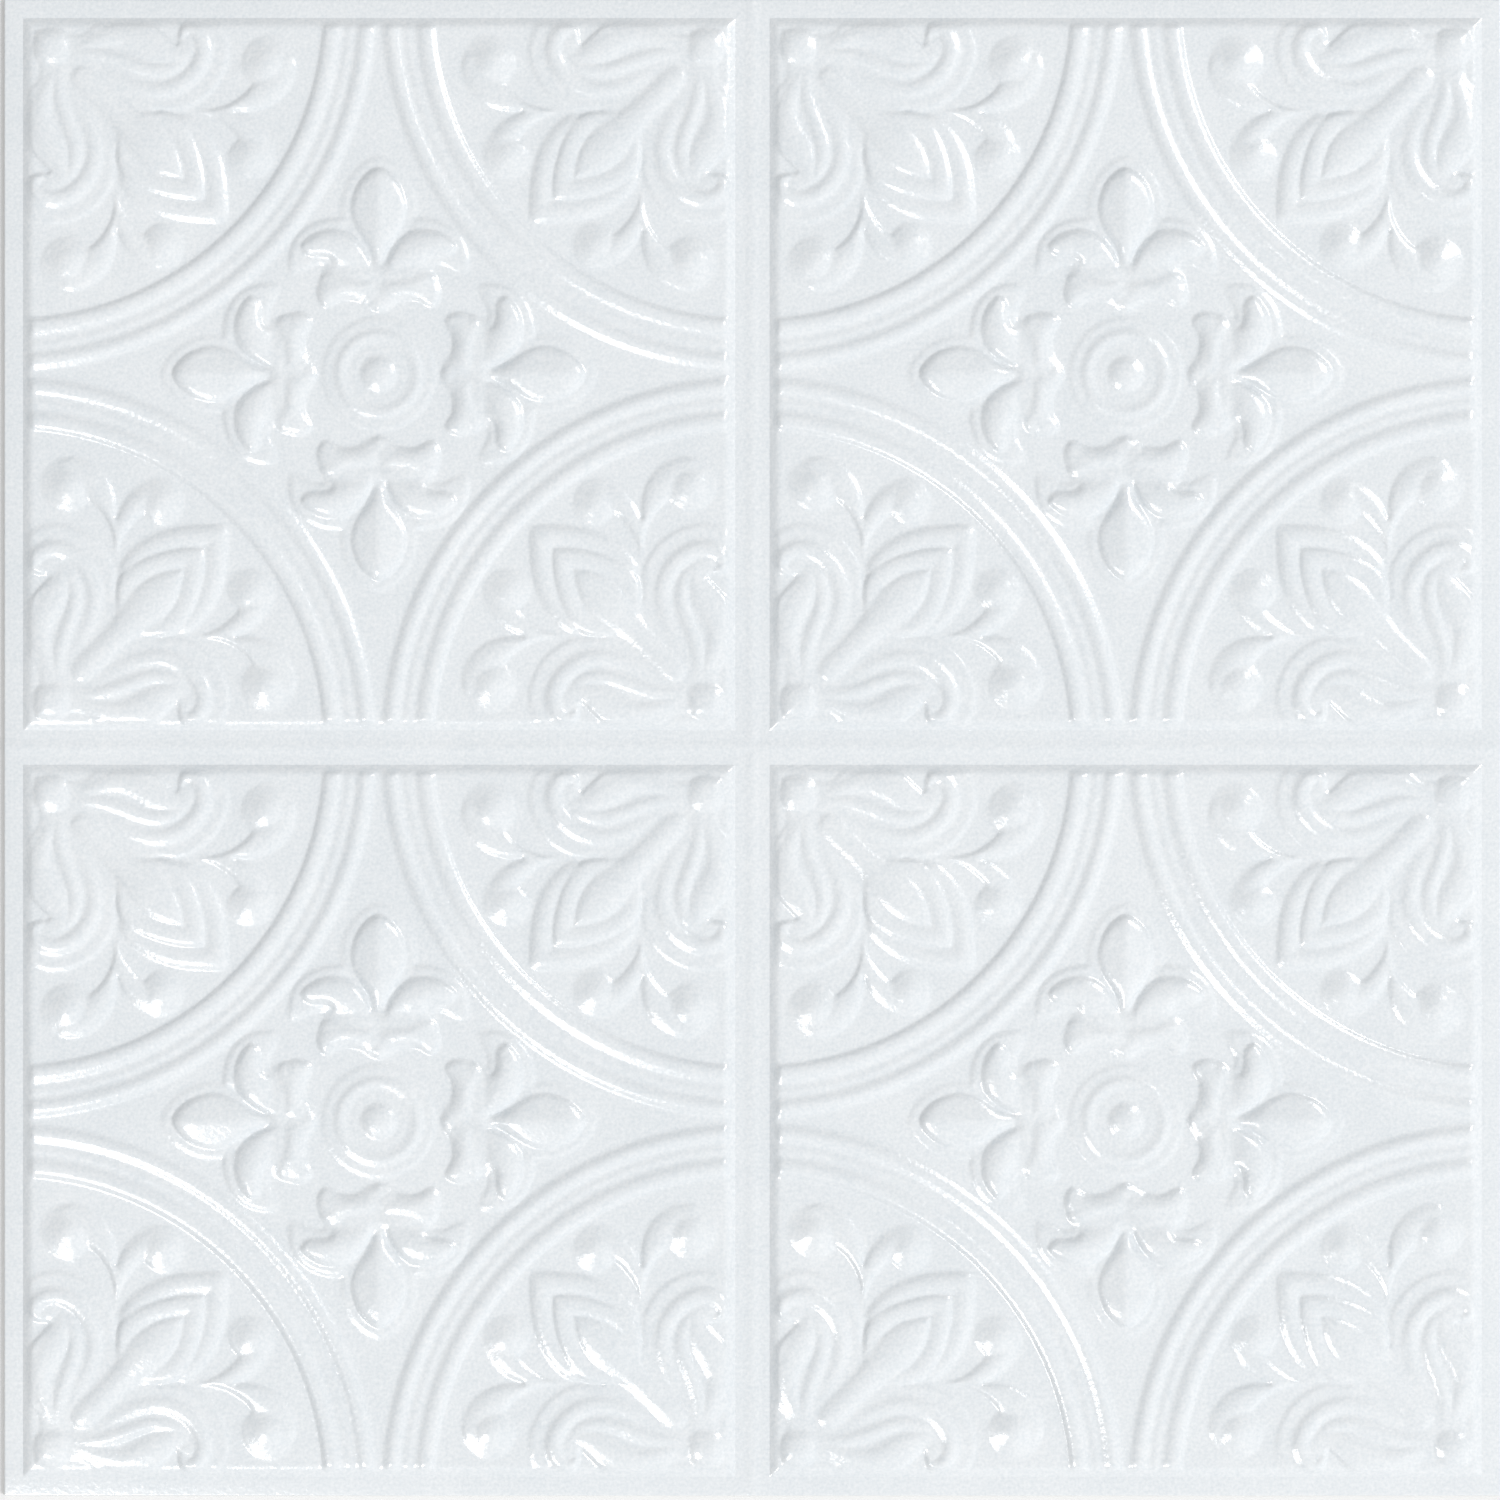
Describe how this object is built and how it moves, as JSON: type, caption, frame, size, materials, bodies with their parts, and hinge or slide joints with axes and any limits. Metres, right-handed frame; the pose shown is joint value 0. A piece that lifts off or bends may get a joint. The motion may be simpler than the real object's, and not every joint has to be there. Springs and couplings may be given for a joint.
{
  "type": "peel and stick backsplash tile",
  "caption": "Square self-adhesive backsplash tile: a white embossed plastic face with a tin-ceiling pattern, an adhesive layer and a release liner.",
  "frame": {"origin": "middle of the tile's underside, which is the underside of the release liner", "axes": "+Z out of the decorated face, X and Y along the tile's two pairs of edges"},
  "size_m": [0.305, 0.305, 0.005],
  "materials": {
    "white_vinyl": "gloss",
    "clear_adhesive": "satin",
    "liner_paper": "matte"
  },
  "bodies": {
    "root": {"face_sheet": "white_vinyl", "adhesive_layer": "clear_adhesive", "release_liner": "liner_paper"}
  },
  "joints": []
}
